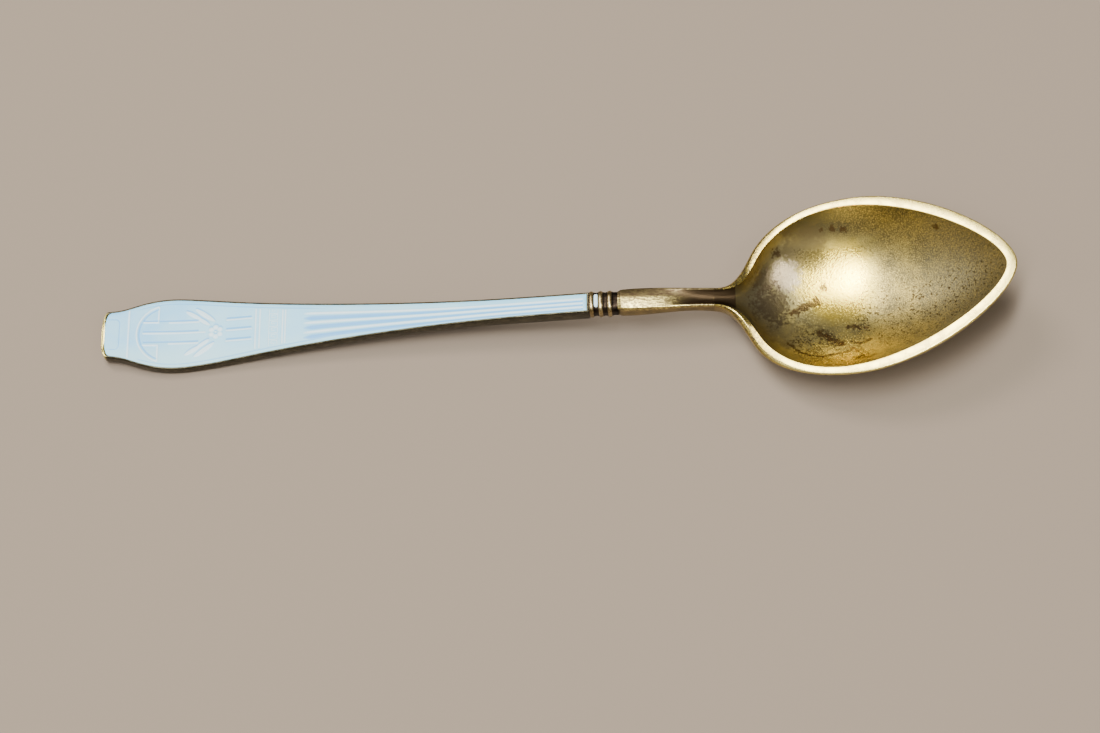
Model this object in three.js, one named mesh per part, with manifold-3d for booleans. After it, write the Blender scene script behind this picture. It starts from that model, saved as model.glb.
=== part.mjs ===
// A small enamelled souvenir spoon. A gilt bowl sits on a channelled neck, and a collar of
// three rings joins the neck to a struck handle, whose tray holds a pale blue enamel fill.
// Millimetres. +X runs from the handle's end to the bowl's tip and +Z is up. The spoon lies
// on z = 0, on its handle and on its bowl, and the origin is under the middle of its length.
import * as THREE from "three";
import { mergeVertices } from "three/addons/utils/BufferGeometryUtils.js";
import Module from "manifold-3d";

const wasm = await Module();
wasm.setup();

// ---- Driving dimensions ----
const LENGTH = 94.6;
const TIP_X = LENGTH / 2;
const END_X = -LENGTH / 2;

const BOWL_HALF_WIDTH = 9.78;
const BOWL_WIDEST_X = 31.2;
const RIM_WIDTH = 0.92;
const RIM_HEEL_X = 19;
const RIM_HEEL_Z = 3.57;
const RIM_SLOPE = Math.tan(THREE.MathUtils.degToRad(12.84));
const SHOULDER_X = 17;
const CREASE_X = 19.1;

const NECK_X = 7.2;
const NECK_END_HALF_WIDTH = 1.06;
const CROWN_HEIGHT = 0.2;
const CHANNEL_START_X = 12.2;
const NECK_HALF_WIDTH = 1.02;
const NECK_LAND = 0.2;
const NECK_RIM_BLEND = 0.2;

const HANDLE_THICK = 1.36;
const HANDLE_NECK_THICK = 1.95;
const HANDLE_LOW_Z = 1.3;
const HANDLE_RIM = 0.2;
const HANDLE_END_RIM = 0.3;
const END_BOW = 0.7;
const END_SQUARENESS = 2.6;
const TRAY_DEPTH = 0.35;
const ENAMEL_END_X = 3.98;
const PLATE_END_X = 4.18;

const TANG_HALF_WIDTH = 1.19;
const TANG_HALF_HEIGHT = 1.04;
const TANG_Z = 4.08;
const RING_WIDTH = 0.46;
const RING_HALF_WIDTH = 1.28;
const RING_HALF_HEIGHT = 1.11;
const RING_XS = [4.45, 5.4, 6.33];
const COLLAR_ENAMEL_DEPTH = 0.2;
const COLLAR_ENAMEL_HALF_WIDTH = 0.75;

const FIT_GAP = 0.03;

// ---- Shared geometry ----

// One closed body through sections that run along +X. Each section is a ring of points,
// counter-clockwise seen from +X, and both ends are closed by a fan.
function loft(sections) {
  const count = sections[0].length;
  const positions = [];
  const addFace = (...corners) => corners.forEach((p) => positions.push(p.x, p.y, p.z));
  for (let s = 0; s + 1 < sections.length; s++) {
    for (let i = 0; i < count; i++) {
      const j = (i + 1) % count;
      const [a, b, c, d] = [sections[s][i], sections[s][j], sections[s + 1][i], sections[s + 1][j]];
      addFace(a, b, c);
      addFace(b, d, c);
    }
  }
  const first = sections[0];
  const last = sections[sections.length - 1];
  for (let i = 0; i < count; i++) {
    const j = (i + 1) % count;
    addFace(middleOf(first), first[j], first[i]);
    addFace(middleOf(last), last[i], last[j]);
  }
  const geometry = new THREE.BufferGeometry();
  return geometry.setAttribute("position", new THREE.Float32BufferAttribute(positions, 3));
}

function middleOf(points) {
  const sum = points.reduce((total, p) => total.add(p), new THREE.Vector3());
  return sum.divideScalar(points.length);
}

function solidFrom(geometry) {
  const bare = new THREE.BufferGeometry();
  const source = geometry.index ? geometry.toNonIndexed() : geometry;
  bare.setAttribute("position", source.getAttribute("position"));
  const merged = mergeVertices(bare, 1e-4);
  const vertProperties = new Float32Array(merged.attributes.position.array);
  const triVerts = new Uint32Array(merged.index.array);
  return new wasm.Manifold(new wasm.Mesh({ numProp: 3, vertProperties, triVerts }));
}

function geometryFrom(solid) {
  const { vertProperties, triVerts, numProp } = solid.getMesh();
  const count = vertProperties.length / numProp;
  const positions = new Float32Array(count * 3);
  for (let i = 0; i < count; i++) {
    positions.set(vertProperties.subarray(i * numProp, i * numProp + 3), i * 3);
  }
  const geometry = new THREE.BufferGeometry();
  geometry.setAttribute("position", new THREE.BufferAttribute(positions, 3));
  geometry.setIndex(new THREE.BufferAttribute(new Uint32Array(triVerts), 1));
  return geometry;
}

// A smooth curve through [along, across] pairs, read as across = f(along).
function profile(points) {
  const curve = new THREE.SplineCurve(points.map(([x, y]) => new THREE.Vector2(x, y)));
  return (x) => {
    let low = 0;
    let high = 1;
    for (let step = 0; step < 30; step++) {
      const middle = (low + high) / 2;
      if (curve.getPoint(middle).x < x) low = middle;
      else high = middle;
    }
    return curve.getPoint((low + high) / 2).y;
  };
}

// Points along a chain of cubic curves, each given by its four [x, y] control points.
function bezierChain(curves, divisions) {
  const points = curves.flatMap((controls, i) => {
    const curve = new THREE.CubicBezierCurve(...controls.map(([x, y]) => new THREE.Vector2(x, y)));
    const all = curve.getPoints(divisions[i]);
    return i ? all.slice(1) : all;
  });
  return points;
}

function softMax(a, b, blend) {
  return (a + b + Math.hypot(a - b, blend)) / 2;
}

// ---- Bowl and neck ----

const neckEdgeZ = profile([
  [NECK_X - 1, 5.09], [9, 5.12], [12, 5.09], [15, 4.94], [17.6, 4.63], [20, 3.95], [TIP_X, -8],
]);

// The height of the rim, which rises to the tip in one plane and flows into the neck's edges.
function edgeZ(x) {
  const rimPlane = RIM_HEEL_Z + RIM_SLOPE * (x - RIM_HEEL_X);
  return softMax(neckEdgeZ(x), rimPlane, NECK_RIM_BLEND);
}

const undersideZ = profile([
  [NECK_X - 1, 2.86], [8, 2.95], [10.5, 3.18], [13.5, 3.45], [15.5, 3.38], [17.5, 2.72],
  [20.5, 1.7], [24, 0.66], [28, 0], [31.5, -0.16], [35, 0.22], [39, 1.45], [43, 3.95],
  [45.7, 6.95], [46.9, 8.9], [TIP_X, 9.9],
]);

const floorZ = profile([
  [NECK_X - 2, 5.3], [10, 5.26], [12, 5.12], [13, 4.97], [14.5, 4.64], [16, 4.3],
  [CREASE_X, 3.5], [21.2, 2.5], [24, 1.6], [28, 1.04], [31.5, 0.92], [35, 1.3], [39, 2.5],
  [42.5, 4.6], [45, 7.3], [46.25, 9.7],
]);

const neckPlan = [
  [NECK_X, NECK_END_HALF_WIDTH], [9.8, 1.32], [13.2, 0.98], [SHOULDER_X, NECK_HALF_WIDTH],
];
const shoulderPlan = [
  [SHOULDER_X, NECK_HALF_WIDTH], [19.1, NECK_HALF_WIDTH], [19.9, 3.3], [20.9, 5.1],
];
const heelPlan = [
  [20.9, 5.1], [22.6, 8.16], [26.4, BOWL_HALF_WIDTH], [BOWL_WIDEST_X, BOWL_HALF_WIDTH],
];
const tipPlan = [
  [BOWL_WIDEST_X, BOWL_HALF_WIDTH], [38.8, BOWL_HALF_WIDTH], [TIP_X, 3.4], [TIP_X, 0.2],
];

const CAVITY_HALF_WIDTH = BOWL_HALF_WIDTH - RIM_WIDTH;
const CAVITY_TIP_X = TIP_X - 1.05;
const CAVITY_WIDEST_X = 30.3;
const CHANNEL_HALF_WIDTH = NECK_HALF_WIDTH - NECK_LAND;
const channelPlan = [
  [NECK_X - 1, CHANNEL_HALF_WIDTH], [9.8, 1.12], [13.2, 0.78], [SHOULDER_X, CHANNEL_HALF_WIDTH],
];
const throatPlan = [
  [SHOULDER_X, CHANNEL_HALF_WIDTH], [19.8, CHANNEL_HALF_WIDTH], [20.3, 2.3], [21.3, 3.9],
];
const hollowHeelPlan = [
  [21.3, 3.9], [22.8, 6.9], [26, CAVITY_HALF_WIDTH], [CAVITY_WIDEST_X, CAVITY_HALF_WIDTH],
];
const hollowTipPlan = [
  [CAVITY_WIDEST_X, CAVITY_HALF_WIDTH], [37.6, CAVITY_HALF_WIDTH], [CAVITY_TIP_X, 2.9],
  [CAVITY_TIP_X, 0.2],
];

const ARC_STEPS = 10;
const FLAT_Z = 0;
const NECK_BOXINESS = 0.3;
const CHANNEL_OPEN_ANGLE = THREE.MathUtils.degToRad(50);
const BOWL_OPEN_ANGLE = THREE.MathUtils.degToRad(17);

// 0 in the neck and 1 in the bowl, turning over smoothly across the shoulders.
function bowlShare(x) {
  return THREE.MathUtils.smoothstep(x, SHOULDER_X, 24);
}

// The outside is boxy in the neck, with upright sides, and round and open in the bowl.
function outerShape(x) {
  const share = bowlShare(x);
  return { power: THREE.MathUtils.lerp(NECK_BOXINESS, 1, share), open: BOWL_OPEN_ANGLE * share };
}

// The inside is a shallow channel in the neck and a deep round hollow in the bowl.
function innerShape(x) {
  return { power: 1, open: THREE.MathUtils.lerp(CHANNEL_OPEN_ANGLE, BOWL_OPEN_ANGLE, bowlShare(x)) };
}

// A section at x: flat across the top, with a curve below it from edge to edge.
function arcSection(x, halfWidth, topZ, bottomZ, { power, open }, liftZ = 0) {
  const points = steps(open, Math.PI - open, 2 * ARC_STEPS).map((angle) => {
    const across = Math.abs(Math.cos(angle) / Math.cos(open)) ** power;
    const down = (Math.sin(angle) ** power - Math.sin(open) ** power) / (1 - Math.sin(open) ** power);
    const y = -halfWidth * Math.sign(Math.cos(angle)) * across;
    return new THREE.Vector3(x, y, Math.max(topZ - (topZ - bottomZ) * down, FLAT_Z));
  });
  if (liftZ) {
    points.push(new THREE.Vector3(x, halfWidth, topZ + liftZ));
    points.push(new THREE.Vector3(x, -halfWidth, topZ + liftZ));
  }
  return points;
}

function spoonBody(plan, divisions, shiftX = 0) {
  const sections = bezierChain(plan, divisions).map((p) =>
    arcSection(p.x + shiftX, p.y, edgeZ(p.x), undersideZ(p.x), outerShape(p.x)),
  );
  return solidFrom(loft(sections));
}

function spoonHollow(plan, divisions) {
  const CUTTER_LIFT = 2;
  const sections = bezierChain(plan, divisions).map((p) =>
    arcSection(p.x, p.y, edgeZ(p.x), Math.min(floorZ(p.x), edgeZ(p.x)), innerShape(p.x), CUTTER_LIFT),
  );
  return solidFrom(loft(sections));
}

function wholeHollow() {
  return spoonHollow([channelPlan, throatPlan, hollowHeelPlan, hollowTipPlan], [8, 10, 8, 14]);
}

function bowl() {
  const body = spoonBody([shoulderPlan, heelPlan, tipPlan], [8, 10, 16]);
  return geometryFrom(body.subtract(wholeHollow()));
}

// Beside the collar the neck's top is crowned, until the channel opens.
function neckCrown() {
  const ARCH_STEPS = 8;
  const INSET = 0.03;
  const stations = bezierChain([neckPlan], [12]).filter((p) => p.x < CHANNEL_START_X);
  const sections = stations.map((p) => {
    const z = edgeZ(p.x);
    const half = p.y - INSET;
    const start = (p.x - NECK_X) / (CHANNEL_START_X - NECK_X);
    const arch = steps(1, -1, ARCH_STEPS).map((share) => {
      const height = CROWN_HEIGHT * (1 - start ** 2) * (1 - share ** 2);
      return new THREE.Vector3(p.x - FIT_GAP, share * half, z + height);
    });
    const bottom = [-half, half].map((y) => new THREE.Vector3(p.x - FIT_GAP, y, z - 2 * INSET));
    return [...bottom, ...arch];
  });
  return solidFrom(loft(sections));
}

function neck() {
  const body = spoonBody([neckPlan], [8], -FIT_GAP);
  return geometryFrom(body.subtract(wholeHollow()).add(neckCrown()));
}

// ---- Handle ----

const handleTopZ = profile([
  [END_X - 1, 2.05], [-43, 1.62], [-38.5, HANDLE_LOW_Z], [-30.3, 1.8], [-12.3, 3.5], [ENAMEL_END_X + 2, 4.92],
]);

const handleHalfWidth = profile([
  [END_X - 1, 2.6], [END_X, 2.6], [-45.3, 2.8], [-43.3, 3.42], [-40.3, 4.0], [-37.3, 3.88],
  [-32.3, 3.23], [-24.3, 2.31], [-16.3, 1.66], [-8.3, 1.26], [0, 1.12], [ENAMEL_END_X + 2, 1.1],
]);

// Stations along the handle, each with its share of the full width. The end is bowed, and the
// stations are closer together where the outline turns.
function handleStations(fromX, toX) {
  const FINE_END_X = -34;
  const bowed = [0.35, 0.6, 0.78, 0.9, 0.97].map((share) => {
    const across = (1 - share ** END_SQUARENESS) ** (1 / END_SQUARENESS);
    return { x: fromX + END_BOW * (1 - across), share };
  });
  const fine = steps(fromX + END_BOW, FINE_END_X, 15);
  const coarse = steps(FINE_END_X, toX, 14);
  return [...bowed, ...[...fine, ...coarse.slice(1)].map((x) => ({ x, share: 1 }))];
}

function steps(from, to, count) {
  return Array.from({ length: count + 1 }, (_, i) => from + ((to - from) * i) / count);
}

// The handle is stouter towards the collar.
function handleThickness(x) {
  const share = THREE.MathUtils.smoothstep(x, -16, ENAMEL_END_X);
  return THREE.MathUtils.lerp(HANDLE_THICK, HANDLE_NECK_THICK, share);
}

// The handle's section: a flat top, upright sides and an underside with eased edges.
function plateSection({ x, share }) {
  const half = handleHalfWidth(x) * share;
  const top = handleTopZ(x);
  const thick = handleThickness(x);
  const corner = (y, depth) => new THREE.Vector3(x, y, Math.max(top - depth, FLAT_Z));
  return [
    corner(-half, 0),
    corner(-half, thick - 0.4),
    corner(-half + 0.1, thick - 0.14),
    corner(-half + 0.34, thick),
    corner(half - 0.34, thick),
    corner(half - 0.1, thick - 0.14),
    corner(half, thick - 0.4),
    corner(half, 0),
  ];
}

// A slab that follows the tray: from depth below the handle's top up to lift above it.
function traySlab(fromX, toX, narrowing, depth, lift) {
  const sections = handleStations(fromX, toX).map(({ x, share }) => {
    const half = (handleHalfWidth(x) - narrowing) * share;
    const top = handleTopZ(x);
    return [
      new THREE.Vector3(x, -half, top + lift),
      new THREE.Vector3(x, -half, top - depth),
      new THREE.Vector3(x, half, top - depth),
      new THREE.Vector3(x, half, top + lift),
    ];
  });
  return loft(sections);
}

function handlePlate() {
  const strip = solidFrom(loft(handleStations(END_X, PLATE_END_X).map(plateSection)));
  const pocket = solidFrom(
    traySlab(END_X + HANDLE_END_RIM, ENAMEL_END_X, HANDLE_RIM, TRAY_DEPTH, 1),
  );
  const tang = solidFrom(tangBar(PLATE_END_X - 0.1, NECK_X - 2 * FIT_GAP));
  const cell = solidFrom(collarCell(0, 1));
  return geometryFrom(strip.subtract(pocket).add(tang).subtract(cell));
}

function handleEnamel() {
  const inset = HANDLE_RIM + FIT_GAP;
  return traySlab(
    END_X + HANDLE_END_RIM + FIT_GAP, ENAMEL_END_X - FIT_GAP, inset, TRAY_DEPTH - FIT_GAP, 0,
  );
}

// ---- Collar ----

const OVAL_STEPS = 28;
const OVAL_SQUARENESS = 2 / 3;

// A squarish oval outline across the spoon at x, centred on the tang.
function ovalSection(x, halfWidth, halfHeight) {
  const squared = (value) => Math.sign(value) * Math.abs(value) ** OVAL_SQUARENESS;
  return Array.from({ length: OVAL_STEPS }, (_, i) => {
    const angle = (2 * Math.PI * i) / OVAL_STEPS;
    const y = halfWidth * squared(Math.cos(angle));
    return new THREE.Vector3(x, y, TANG_Z + halfHeight * squared(Math.sin(angle)));
  });
}

function tangBar(fromX, toX, grow = 0) {
  const halfWidth = TANG_HALF_WIDTH + grow;
  const halfHeight = TANG_HALF_HEIGHT + grow;
  return loft([ovalSection(fromX, halfWidth, halfHeight), ovalSection(toX, halfWidth, halfHeight)]);
}

// A ring threaded on the tang, half round on its outside.
function collarRing(middleX) {
  const BULGE = 0.08;
  const BULGE_STEPS = 6;
  const half = RING_WIDTH / 2;
  const sections = steps(0, Math.PI, BULGE_STEPS).map((angle) => {
    const inward = BULGE * (1 - Math.sin(angle));
    const x = middleX - half * Math.cos(angle);
    return ovalSection(x, RING_HALF_WIDTH - inward, RING_HALF_HEIGHT - inward);
  });
  const bore = solidFrom(tangBar(middleX - RING_WIDTH, middleX + RING_WIDTH, FIT_GAP));
  return geometryFrom(solidFrom(loft(sections)).subtract(bore));
}

// The cell for the collar's enamel: a slab across the top of the tang between rings 1 and 2.
function collarCell(shrink, lift) {
  const fromX = RING_XS[0] + RING_WIDTH / 2 + 0.04 + shrink;
  const toX = RING_XS[1] - RING_WIDTH / 2 - 0.04 - shrink;
  const bottom = TANG_Z + TANG_HALF_HEIGHT - COLLAR_ENAMEL_DEPTH + shrink;
  const top = TANG_Z + TANG_HALF_HEIGHT + lift;
  const width = 2 * (COLLAR_ENAMEL_HALF_WIDTH - shrink);
  const box = new THREE.BoxGeometry(toX - fromX, width, top - bottom);
  return box.translate((fromX + toX) / 2, 0, (top + bottom) / 2);
}

function collarEnamel() {
  return collarCell(FIT_GAP, 0.08);
}

// ---- Materials ----

function finish(color, roughness, metalness) {
  return new THREE.MeshStandardMaterial({ color, roughness, metalness });
}

const giltFinish = () => finish(0xa98f4f, 0.32, 1);
const agedGiltFinish = () => finish(0x6a5330, 0.42, 1);
const enamelFinish = () => finish(0xbdd2de, 0.12, 0);

// ---- Assembly ----

function part(name, geometry, material) {
  const mesh = new THREE.Mesh(geometry, material);
  mesh.name = name;
  return mesh;
}

const spoon = new THREE.Group();
spoon.add(part("bowl", bowl(), giltFinish()));
spoon.add(part("neck", neck(), giltFinish()));
RING_XS.forEach((x, i) => spoon.add(part(`collar_ring_${i + 1}`, collarRing(x), agedGiltFinish())));
spoon.add(part("collar_enamel", collarEnamel(), enamelFinish()));
spoon.add(part("handle_plate", handlePlate(), agedGiltFinish()));
spoon.add(part("handle_enamel", handleEnamel(), enamelFinish()));

export default spoon;
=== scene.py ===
"""A small enamelled souvenir spoon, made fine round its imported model.

Shapes and the patches in materials are in millimetres; Solid.build() and Look turn them into
metres. +X runs from the handle's end to the bowl's tip, +Z is up, and the spoon lies on z = 0.
"""

import math

import bpy
import bmesh
import numpy as np
from mathutils import Matrix, Vector


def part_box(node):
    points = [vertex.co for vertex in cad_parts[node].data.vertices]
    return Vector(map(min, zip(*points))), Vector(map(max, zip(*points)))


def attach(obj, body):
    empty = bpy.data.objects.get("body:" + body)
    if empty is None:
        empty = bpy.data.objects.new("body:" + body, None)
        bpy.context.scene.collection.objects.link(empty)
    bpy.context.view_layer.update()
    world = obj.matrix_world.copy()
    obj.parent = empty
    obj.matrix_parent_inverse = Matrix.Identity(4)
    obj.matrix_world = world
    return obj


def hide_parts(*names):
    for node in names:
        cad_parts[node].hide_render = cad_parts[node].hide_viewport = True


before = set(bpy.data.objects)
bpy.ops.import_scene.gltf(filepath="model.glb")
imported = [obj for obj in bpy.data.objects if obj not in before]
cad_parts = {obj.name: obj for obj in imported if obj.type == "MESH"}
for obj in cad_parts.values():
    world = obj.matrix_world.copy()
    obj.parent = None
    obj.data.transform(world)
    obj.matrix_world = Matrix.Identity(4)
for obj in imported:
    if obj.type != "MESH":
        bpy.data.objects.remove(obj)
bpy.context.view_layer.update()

MM = 0.001


def box_mm(node):
    """A node's lowest and highest corners, in millimetres."""
    low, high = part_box(node)
    return np.array(low) / MM, np.array(high) / MM


# ---- Driving dimensions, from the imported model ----

END_BOW = 0.7
END_SQUARENESS = 2.6
END_FLAT_SHARE = 0.35


def end_bow(share):
    """How far back the bowed end has come at a share of the handle's half width."""
    return END_BOW * (1 - (1 - share**END_SQUARENESS) ** (1 / END_SQUARENESS))


END_X = box_mm("handle_plate")[0][0] - end_bow(END_FLAT_SHARE)
ENAMEL_START_X = box_mm("handle_enamel")[0][0] - end_bow(END_FLAT_SHARE)
ENAMEL_END_X = box_mm("handle_enamel")[1][0]
PLATE_END_X = box_mm("collar_ring_1")[0][0] - 0.04
NECK_X = box_mm("neck")[0][0]
SHOULDER_X = box_mm("bowl")[0][0]
TIP_X = box_mm("bowl")[1][0]
BOWL_HALF_WIDTH = box_mm("bowl")[1][1]

BOWL_WIDEST_X = 31.2
RIM_WIDTH = 0.92
RIM_HEEL_X = 19
RIM_HEEL_Z = 3.57
RIM_SLOPE = math.tan(math.radians(12.84))
CREASE_X = 19.1
NECK_END_HALF_WIDTH = 1.06
NECK_HALF_WIDTH = 1.02
NECK_LAND = 0.2
NECK_RIM_BLEND = 0.2
NECK_BOXINESS = 0.3
CROWN_HEIGHT = 0.2
CHANNEL_START_X = 12.2
CHANNEL_OPEN_ANGLE = math.radians(50)
BOWL_OPEN_ANGLE = math.radians(17)
OUTER_EDGE_RADIUS = 0.13
INNER_EDGE_RADIUS = 0.04
BOWL_EDGE_EXTRA = 0.05
SHOULDER_EDGE_EXTRA = 0.32

HANDLE_THICK = 1.36
HANDLE_NECK_THICK = 1.95
HANDLE_RIM = 0.2
HANDLE_RIM_ROUND = 0.13
HANDLE_BOTTOM_ROUND = 0.32
TRAY_DEPTH = 0.35
TANG_HALF_WIDTH = 1.19
TANG_HALF_HEIGHT = 1.04
TANG_Z = 4.08
OVAL_SQUARENESS = 2 / 3


# ---- Curves ----


def smooth_profile(points):
    """A natural cubic spline through (along, across) pairs, as across = f(along)."""
    x, y = np.array(points, float).T
    gap = np.diff(x)
    count = len(x)
    matrix, right_side = np.eye(count), np.zeros(count)
    for i in range(1, count - 1):
        matrix[i, i - 1 : i + 2] = gap[i - 1], 2 * (gap[i - 1] + gap[i]), gap[i]
        right_side[i] = 6 * ((y[i + 1] - y[i]) / gap[i] - (y[i] - y[i - 1]) / gap[i - 1])
    bend = np.linalg.solve(matrix, right_side)

    def at(values):
        v = np.clip(values, x[0], x[-1])
        k = np.clip(np.searchsorted(x, v) - 1, 0, count - 2)
        before, after = v - x[k], x[k + 1] - v
        cubic = (bend[k] * after**3 + bend[k + 1] * before**3) / (6 * gap[k])
        from_left = (y[k] / gap[k] - bend[k] * gap[k] / 6) * after
        from_right = (y[k + 1] / gap[k] - bend[k + 1] * gap[k] / 6) * before
        return cubic + from_left + from_right

    return at


def bezier_chain(curves, divisions):
    """Points along a chain of cubic curves, each given by its four (x, y) control points."""
    pieces = []
    for controls, count in zip(curves, divisions):
        t = np.linspace(0, 1, count + 1)[:, None]
        a, b, c, d = (np.array(p, float) for p in controls)
        points = a * (1 - t) ** 3 + 3 * b * t * (1 - t) ** 2 + 3 * c * t**2 * (1 - t) + d * t**3
        pieces.append(points[1:] if pieces else points)
    return np.vstack(pieces)


def smoothstep(values, low, high):
    """0 below low and 1 above high, with a smooth rise between them."""
    t = np.clip((np.asarray(values, float) - low) / (high - low), 0, 1)
    return t * t * (3 - 2 * t)


def soft_max(a, b, blend):
    """The larger of two heights, rounded where they cross."""
    return (a + b + np.hypot(a - b, blend)) / 2


def ridge(distance, half_width):
    """1 on a line, falling smoothly to 0 at half_width from it."""
    t = np.clip(np.abs(distance) / half_width, 0, 1)
    return (1 + np.cos(math.pi * t)) / 2


# ---- Solids ----


class Solid:
    """A closed mesh, made of rows of points in millimetres that share corners."""

    def __init__(self):
        self.points = []
        self.faces = []
        self.slots = []
        self.sharp = []

    def add(self, points):
        """Adds points of shape (..., 3) and returns their numbers in the same arrangement."""
        points = np.asarray(points, float)
        start = sum(len(p) for p in self.points)
        flat = points.reshape(-1, 3)
        self.points.append(flat)
        return np.arange(start, start + len(flat)).reshape(points.shape[:-1])

    def skin(self, rows, slot=0, closed=False):
        """Quads between neighbouring rows of numbers; closed joins each row's ends."""
        rows = np.asarray(rows)
        if closed:
            rows = np.concatenate([rows, rows[:, :1]], axis=1)
        quads = np.stack([rows[:-1, :-1], rows[:-1, 1:], rows[1:, 1:], rows[1:, :-1]], axis=-1)
        for quad in quads.reshape(-1, 4):
            self.face(quad, slot)

    def face(self, corners, slot=0):
        """One face, without repeated corners, if three or more are left."""
        kept = []
        for c in corners:
            if int(c) not in kept:
                kept.append(int(c))
        if len(kept) > 2:
            self.faces.append(kept)
            self.slots.append(slot)

    def crease(self, row):
        """Marks the edges along a row of numbers as sharp."""
        self.sharp += [frozenset((int(a), int(b))) for a, b in zip(row[:-1], row[1:])]

    def cap(self, loop, slot=0):
        """Closes a loop with one flat face and keeps its outline sharp."""
        self.face(loop, slot)
        self.crease([*loop, loop[0]])

    def tube(self, loops):
        """A skin through closed loops of points, with a flat cap on each end."""
        numbers = self.add(loops)
        self.skin(numbers, closed=True)
        self.cap(numbers[0])
        self.cap(numbers[-1])

    def build(self, name, materials, attributes=None):
        """The finished object: smooth shading, sharp creases and normals that face outwards."""
        mesh = bpy.data.meshes.new(name)
        mesh.from_pydata((np.vstack(self.points) * MM).tolist(), [], self.faces)
        for material in materials:
            mesh.materials.append(material)
        mesh.polygons.foreach_set("material_index", self.slots)
        for key, values in (attributes or {}).items():
            mesh.attributes.new(key, "FLOAT", "POINT").data.foreach_set("value", values)
        mesh.shade_smooth()
        shape = bmesh.new()
        shape.from_mesh(mesh)
        bmesh.ops.recalc_face_normals(shape, faces=shape.faces)
        sharp = set(self.sharp)
        for edge in shape.edges:
            if frozenset(v.index for v in edge.verts) in sharp:
                edge.smooth = False
        shape.to_mesh(mesh)
        shape.free()
        return new_object(name, mesh)


def new_object(name, data):
    """Links a new mesh, light or camera object to the scene."""
    made = bpy.data.objects.new(name, data)
    bpy.context.scene.collection.objects.link(made)
    return made


def place(solid, name, materials, node, slot, attributes=None):
    """Builds a piece that rides on the root body and stands for a CAD node."""
    piece = solid.build(name, materials, attributes)
    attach(piece, "root")
    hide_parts(node)


# ---- The bowl and neck: heights ----

neck_edge_z = smooth_profile([
    (6.2, 5.09), (9, 5.12), (12, 5.09), (15, 4.94), (17.6, 4.63), (20, 3.95), (30, 0.9),
    (TIP_X, -4.5),
])


def edge_z(x):
    """The rim rises to the tip in one plane and flows into the neck's edges."""
    rim_plane = RIM_HEEL_Z + RIM_SLOPE * (x - RIM_HEEL_X)
    return soft_max(neck_edge_z(x), rim_plane, NECK_RIM_BLEND)


underside_z = smooth_profile([
    (6.2, 2.88), (8, 2.96), (10.5, 3.18), (13.5, 3.44), (15.5, 3.32), (17.5, 2.72), (20.5, 1.66),
    (24, 0.66), (28, 0.02), (31.5, -0.14), (35, 0.22), (39, 1.45), (43, 3.95), (45.7, 6.95),
    (46.9, 8.9), (TIP_X, 9.85),
])
channel_depth = smooth_profile([
    (CHANNEL_START_X, 0), (13, 0.1), (14.5, 0.33), (16, 0.52), (SHOULDER_X, 0.6), (CREASE_X, 0.74),
])
dish_floor_z = smooth_profile([
    (CREASE_X, 3.5), (20, 2.86), (21.5, 2.12), (24, 1.42), (28, 0.98), (31.5, 0.92), (35, 1.3),
    (39, 2.5), (42.5, 4.6), (45, 7.3), (46.25, 9.6),
])


def channel_floor_z(x):
    return edge_z(x) - channel_depth(x)


CAVITY_HALF_WIDTH = BOWL_HALF_WIDTH - RIM_WIDTH
CAVITY_TIP_X = TIP_X - 1.05
CAVITY_WIDEST_X = 30.3
CHANNEL_HALF_WIDTH = NECK_HALF_WIDTH - NECK_LAND
NECK_OUTER_PLAN = [
    [(NECK_X, NECK_END_HALF_WIDTH), (9.8, 1.32), (13.2, 0.98), (SHOULDER_X, NECK_HALF_WIDTH)],
]
NECK_INNER_PLAN = [[(x, half - NECK_LAND) for x, half in NECK_OUTER_PLAN[0]]]
OUTER_PLAN = [
    [(SHOULDER_X, NECK_HALF_WIDTH), (19.1, NECK_HALF_WIDTH), (19.9, 3.3), (20.9, 5.1)],
    [(20.9, 5.1), (22.6, 8.16), (26.4, BOWL_HALF_WIDTH), (BOWL_WIDEST_X, BOWL_HALF_WIDTH)],
    [(BOWL_WIDEST_X, BOWL_HALF_WIDTH), (38.8, BOWL_HALF_WIDTH), (TIP_X, 3.4), (TIP_X, 0)],
]
INNER_PLAN = [
    [(SHOULDER_X, CHANNEL_HALF_WIDTH), (19.8, CHANNEL_HALF_WIDTH), (20.3, 2.3), (21.3, 3.9)],
    [(21.3, 3.9), (22.8, 6.9), (26, CAVITY_HALF_WIDTH), (CAVITY_WIDEST_X, CAVITY_HALF_WIDTH)],
    [
        (CAVITY_WIDEST_X, CAVITY_HALF_WIDTH), (37.6, CAVITY_HALF_WIDTH),
        (CAVITY_TIP_X, 2.9), (CAVITY_TIP_X, 0),
    ],
]


def section_drop(u, power, open_angle):
    """How far down a section has come at u across it: 0 at its edges, 1 in its middle."""
    cosine = np.clip(np.abs(u), 0, 1) ** (1 / power) * np.cos(open_angle)
    sine = np.sqrt(np.clip(1 - cosine**2, 0, 1))
    base = np.sin(open_angle) ** power
    return (sine**power - base) / (1 - base)


def bowl_share(x):
    """0 in the neck and 1 in the bowl."""
    return smoothstep(x, SHOULDER_X, 24)


def outer_round(x):
    """The radius that eases the rim's outside edge: small, but generous round the shoulders."""
    shoulder = smoothstep(x, 16.5, 19.5) * (1 - smoothstep(x, 21, 27))
    return OUTER_EDGE_RADIUS + BOWL_EDGE_EXTRA * bowl_share(x) + SHOULDER_EDGE_EXTRA * shoulder


def inner_round(x):
    """The radius that eases the rim's inside edge."""
    return INNER_EDGE_RADIUS + BOWL_EDGE_EXTRA * bowl_share(x)


def half_width_of(*plans):
    """The half width along X of an outline given as chains of curves."""
    curves = [curve for plan in plans for curve in plan]
    outline = bezier_chain(curves, [400] * len(curves))
    return lambda x: np.interp(x, outline[:, 0], outline[:, 1])


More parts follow.
